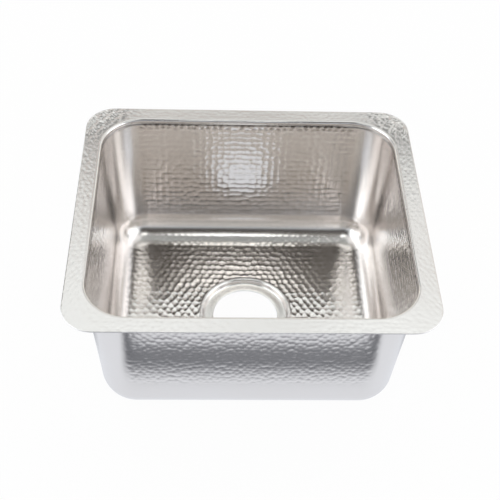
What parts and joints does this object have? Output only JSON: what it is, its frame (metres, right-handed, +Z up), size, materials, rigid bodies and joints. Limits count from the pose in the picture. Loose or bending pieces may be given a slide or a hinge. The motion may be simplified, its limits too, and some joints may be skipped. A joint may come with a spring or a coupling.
{
  "type": "prep sink",
  "caption": "Rectangular hammered stainless prep sink: flat flange with round corners, drafted bowl, recessed round drain opening.",
  "frame": {"origin": "on the drain's axis, level with the underside of the drain ring, which is the lowest face", "axes": "+X along the width, +Y to the back, +Z up out of the bowl"},
  "size_m": [0.432, 0.381, 0.211],
  "materials": {
    "flange_stainless": "lightly hammered, polished",
    "hammered_stainless": "hammered in small round dimples, polished",
    "smooth_stainless": "smooth satin",
    "damping_rubber": "matte, moulded"
  },
  "bodies": {
    "root": {"rim": "flange_stainless", "bowl": "hammered_stainless", "drain_seat": "smooth_stainless", "sound_pad_left": "damping_rubber", "sound_pad_right": "damping_rubber", "sound_pad_front": "damping_rubber", "sound_pad_rear": "damping_rubber"}
  },
  "joints": []
}
